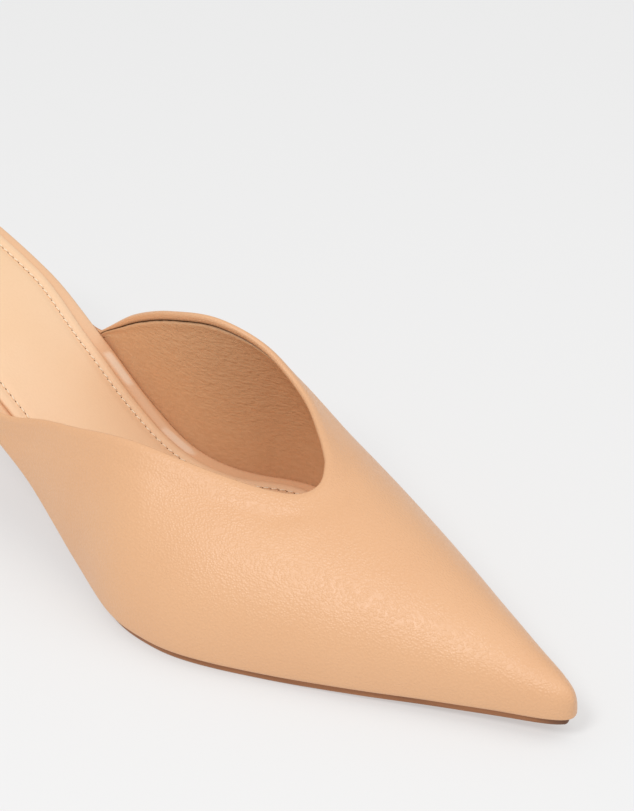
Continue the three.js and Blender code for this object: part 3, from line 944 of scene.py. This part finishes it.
def beadTree(name, material):  # small long beads along a line: stitches, or dark beads of painted shade at the holes between them
    tree = bpy.data.node_groups.new(name, "GeometryNodeTree")
    for way in ("INPUT", "OUTPUT"):
        tree.interface.new_socket(name="Geometry", in_out=way, socket_type="NodeSocketGeometry")
    for label in ("Pitch", "Length", "Radius", "Slant", "Turn", "Lift"):
        tree.interface.new_socket(name=label, in_out="INPUT", socket_type="NodeSocketFloat")

    def node(kind, inputs=None, **settings):
        made = tree.nodes.new(kind)
        for key, value in settings.items():
            setattr(made, key, value)
        for key, value in (inputs or {}).items():
            if isinstance(value, bpy.types.NodeSocket):
                tree.links.new(value, made.inputs[key])
            else:
                made.inputs[key].default_value = value
        return made

    given = node("NodeGroupInput").outputs
    line = node("GeometryNodeMeshToCurve", {"Mesh": given["Geometry"]})
    spacing = {"Curve": line.outputs[0], "Length": given["Pitch"]}
    even = node("GeometryNodeResampleCurve", spacing, mode="LENGTH")
    bead = node("GeometryNodeMeshUVSphere", {"Segments": 8, "Rings": 6, "Radius": 1.0})
    half = node("ShaderNodeMath", {0: given["Length"], 1: 0.5}, operation="MULTIPLY")
    size = node("ShaderNodeCombineXYZ", {"X": half.outputs[0], "Y": given["Radius"], "Z": given["Radius"]})
    shaped = node("GeometryNodeTransform", {"Geometry": bead.outputs["Mesh"], "Scale": size.outputs[0]})
    smooth = node("GeometryNodeSetShadeSmooth", {"Geometry": shaped.outputs[0]})
    tangent = node("GeometryNodeInputTangent")
    turned = node("FunctionNodeAlignRotationToVector", {"Vector": tangent.outputs[0]}, axis="X")
    low = node("ShaderNodeMath", {0: given["Turn"], 1: -1.0}, operation="MULTIPLY")
    limits = {2: low.outputs[0], 3: given["Turn"], "Seed": 11}  # sockets 2 and 3 are the float ones
    swing = node("FunctionNodeRandomValue", limits, data_type="FLOAT")
    leaning = node("ShaderNodeMath", {0: swing.outputs[1], 1: given["Slant"]}, operation="ADD")
    euler = node("ShaderNodeCombineXYZ", {"Z": leaning.outputs[0]})
    skew = node("FunctionNodeRotateRotation", {"Rotation": turned.outputs[0], "Rotate By": euler.outputs[0]},
                rotation_space="LOCAL")
    raised = node("ShaderNodeCombineXYZ", {"Z": given["Lift"]})
    moved = node("GeometryNodeSetPosition", {"Geometry": even.outputs[0], "Offset": raised.outputs[0]})
    copies = node("GeometryNodeInstanceOnPoints", {"Points": moved.outputs[0], "Instance": smooth.outputs[0],
                                                   "Rotation": skew.outputs[0]})
    real = node("GeometryNodeRealizeInstances", {"Geometry": copies.outputs[0]})
    dressed = node("GeometryNodeSetMaterial", {"Geometry": real.outputs[0], "Material": material})
    tree.links.new(dressed.outputs[0], node("NodeGroupOutput").inputs[0])
    return tree


def beadsAlong(name, points, sizes, material):  # along a closed path
    count = len(points)
    edges = [(i, (i + 1) % count) for i in range(count)]
    line = bpy.data.meshes.new(name + "Line")
    line.from_pydata([tuple(p) for p in placed(points)], edges, [])
    carrier = added(name + "Line", line)
    modifier = carrier.modifiers.new("beads", "NODES")
    modifier.node_group = beadTree(name + "Tree", material)
    for item in modifier.node_group.interface.items_tree:
        if item.in_out == "INPUT" and item.name in sizes:
            modifier[item.identifier] = sizes[item.name]
    evaluated = carrier.evaluated_get(bpy.context.evaluated_depsgraph_get())
    made = added(name, bpy.data.meshes.new_from_object(evaluated))
    made.data.name = name
    bpy.data.objects.remove(carrier)
    print(f"  {name}: {len(made.data.polygons)} faces")
    return made


def halfPitchOn(points, pitch):  # the same closed path, started half a stitch later
    steps = np.linalg.norm(np.roll(points, -1, 0) - points, axis=1)
    run = np.concatenate([[0], np.cumsum(steps)])
    whole = run[-1]
    ring = np.concatenate([points, points[:1]])
    at = (np.linspace(0, whole, len(points), endpoint=False) + pitch / 2) % whole
    return np.stack([np.interp(at, run, ring[:, k]) for k in range(3)], 1)


print("stitches")
sockStitches = beadsAlong("sock_stitches", stitchPath, stitchSizes, creamThread)
# The needle holes are dark beads of painted shade
stitchHoles = beadsAlong("sock_needle_holes", halfPitchOn(stitchPath, stitchPitch), holeSizes, needleHoleShade)
finished(sockStitches, "sock_leather")
finished(stitchHoles, "sock_leather")

heelSizes = {
    "rows": [  # share of the height, front, rear, half width
        (1, 203, 244.2, 22), (0.94, 207.5, 244, 20.6), (0.84, 213, 243.4, 17.4), (0.7, 217.6, 242.4, 13.8),
        (0.54, 220.6, 241.2, 11), (0.36, 222.4, 240, 9.2), (0.18, 223.4, 239.2, 8.2), (0, 224, 238.8, 7.8),
    ],
    "widest": 0.42, "frontSquareness": 3.4,
    "tipHeight": 4,
    "sides": 96, "rings": 60,
    "seamDepth": 0.22, "seamWidth": 0.35,  # where the cover meets itself down the breast
}


def heelOutline(share, angles):
    rows = np.array(heelSizes["rows"][::-1], float)
    front, rear, half = (smoothCurve(rows[:, 0], rows[:, k])(share) for k in (1, 2, 3))
    middle = front + (rear - front) * heelSizes["widest"]
    power = np.where(np.cos(angles) > 0, lastSizes["seatRoundness"], heelSizes["frontSquareness"])
    reach = np.where(np.cos(angles) > 0, rear - middle, middle - front)

    def rounded(value):
        return np.sign(value) * np.abs(value) ** (2 / power)

    return middle + reach * rounded(np.cos(angles)), half * rounded(np.sin(angles))


def heelAngles():
    even = np.linspace(0, 2 * np.pi, heelSizes["sides"], endpoint=False)
    near = np.arcsin(np.array([0.012, 0.03, 0.05, 0.08, 0.12]) ** (heelSizes["frontSquareness"] / 2))
    return np.unique(np.round(np.concatenate([even, [np.pi], np.pi - near, np.pi + near]), 9))


def ringPiece(name, rings, material):  # closed rings one above the other, capped at both ends
    grid = np.stack(rings)
    shell = Shell()
    shell.sheet(np.concatenate([grid, grid[:, :1]], 1))
    for ring in (grid[0], grid[-1]):
        shell.cap(ring)
    return shell.piece(name, material)


def makeHeel():
    angles = heelAngles()
    foot = heelSizes["tipHeight"] + lastSizes["gap"]
    shares = 1 - (1 - np.cos(np.pi * np.linspace(0, 1, heelSizes["rings"] + 1))) / 2
    rings = []
    for index, share in enumerate(shares):
        back, y = heelOutline(share, angles)
        seat = soleBottom(back) - lastSizes["gap"]
        z = foot + (seat - foot) * share
        seam = heelSizes["seamDepth"] * np.exp(-((y / heelSizes["seamWidth"]) ** 2)) * (np.cos(angles) < 0)
        ring = np.stack([-(back + seam), y, z], 1)
        middle = np.array([ring[:, 0].mean(), 0, 0])
        edge = {0: 0.986, 1: 0.996, heelSizes["rings"]: 0.955, heelSizes["rings"] - 1: 0.985}.get(index, 1)
        ring[:, :2] = middle[:2] + (ring[:, :2] - middle[:2]) * edge
        rings.append(ring)
    return ringPiece("heel_cover", rings, upperLeather)


def makeTip():
    angles = np.linspace(0, 2 * np.pi, heelSizes["sides"], endpoint=False)
    back, y = heelOutline(0, angles)
    top = heelSizes["tipHeight"]
    middle = np.array([-back.mean(), 0])
    rings = []
    for size, z in ((0.9, 0), (0.965, 0.06), (0.99, 0.3), (1, 0.8), (1, top - 0.5), (0.985, top - 0.12),
                    (0.95, top)):
        flat = middle + (np.stack([-back, y], 1) - middle) * size
        rings.append(np.column_stack([flat, np.full(len(flat), float(z))]))
    return ringPiece("heel_top_piece", rings, wearRubber)


print("heel")
finished(makeHeel(), "heel_leather", "heel")
finished(makeTip(), "tip_rubber", "heel_tip")

studio = {
    "floorColour": (0.4, 0.4, 0.4, 1), "floorGlow": 0.46,  # pale, and lit from below as on a light table
    "world": 0.6,
    "softbox": {"power": 5.5, "size": 1.2, "from": (0.6, 0.35, 1.35)},
    "keyBox": {"power": 6.0, "size": 0.36, "from": (0.2, -0.76, 1.0)},
}


def addFloor(look):
    mesh = bpy.data.meshes.new("floor")
    far = 6
    mesh.from_pydata([(-far, -far, 0), (far, -far, 0), (far, far, 0), (-far, far, 0)], [], [(0, 1, 2, 3)])
    floor = added("floor", mesh)
    finish = Finish("paleFloor", Roughness=0.9, Specular_IOR_Level=0.0, Base_Color=look["floorColour"],
                    Emission_Color=(1, 1, 1, 1), Emission_Strength=look["floorGlow"])
    mesh.materials.append(finish.material)


def addSoftbox(name, look):
    data = bpy.data.lights.new(name, "AREA")
    data.energy = look["power"]
    data.size = look["size"]
    light = added(name, data)
    light.location = look["from"]
    light.rotation_mode = "QUATERNION"
    light.rotation_quaternion = Vector(look["from"]).to_track_quat("Z", "Y")


def addWorld(look):
    world = bpy.data.worlds.new("studioAir")
    world.use_nodes = True
    background = world.node_tree.nodes["Background"]
    background.inputs["Color"].default_value = (1, 1, 1, 1)
    background.inputs["Strength"].default_value = look["world"]
    bpy.context.scene.world = world


print("floor and light")
addFloor(studio)
addSoftbox("overheadSoftbox", studio["softbox"])
addSoftbox("keySoftbox", studio["keyBox"])
addWorld(studio)
bpy.context.scene.view_settings.view_transform = "Standard"
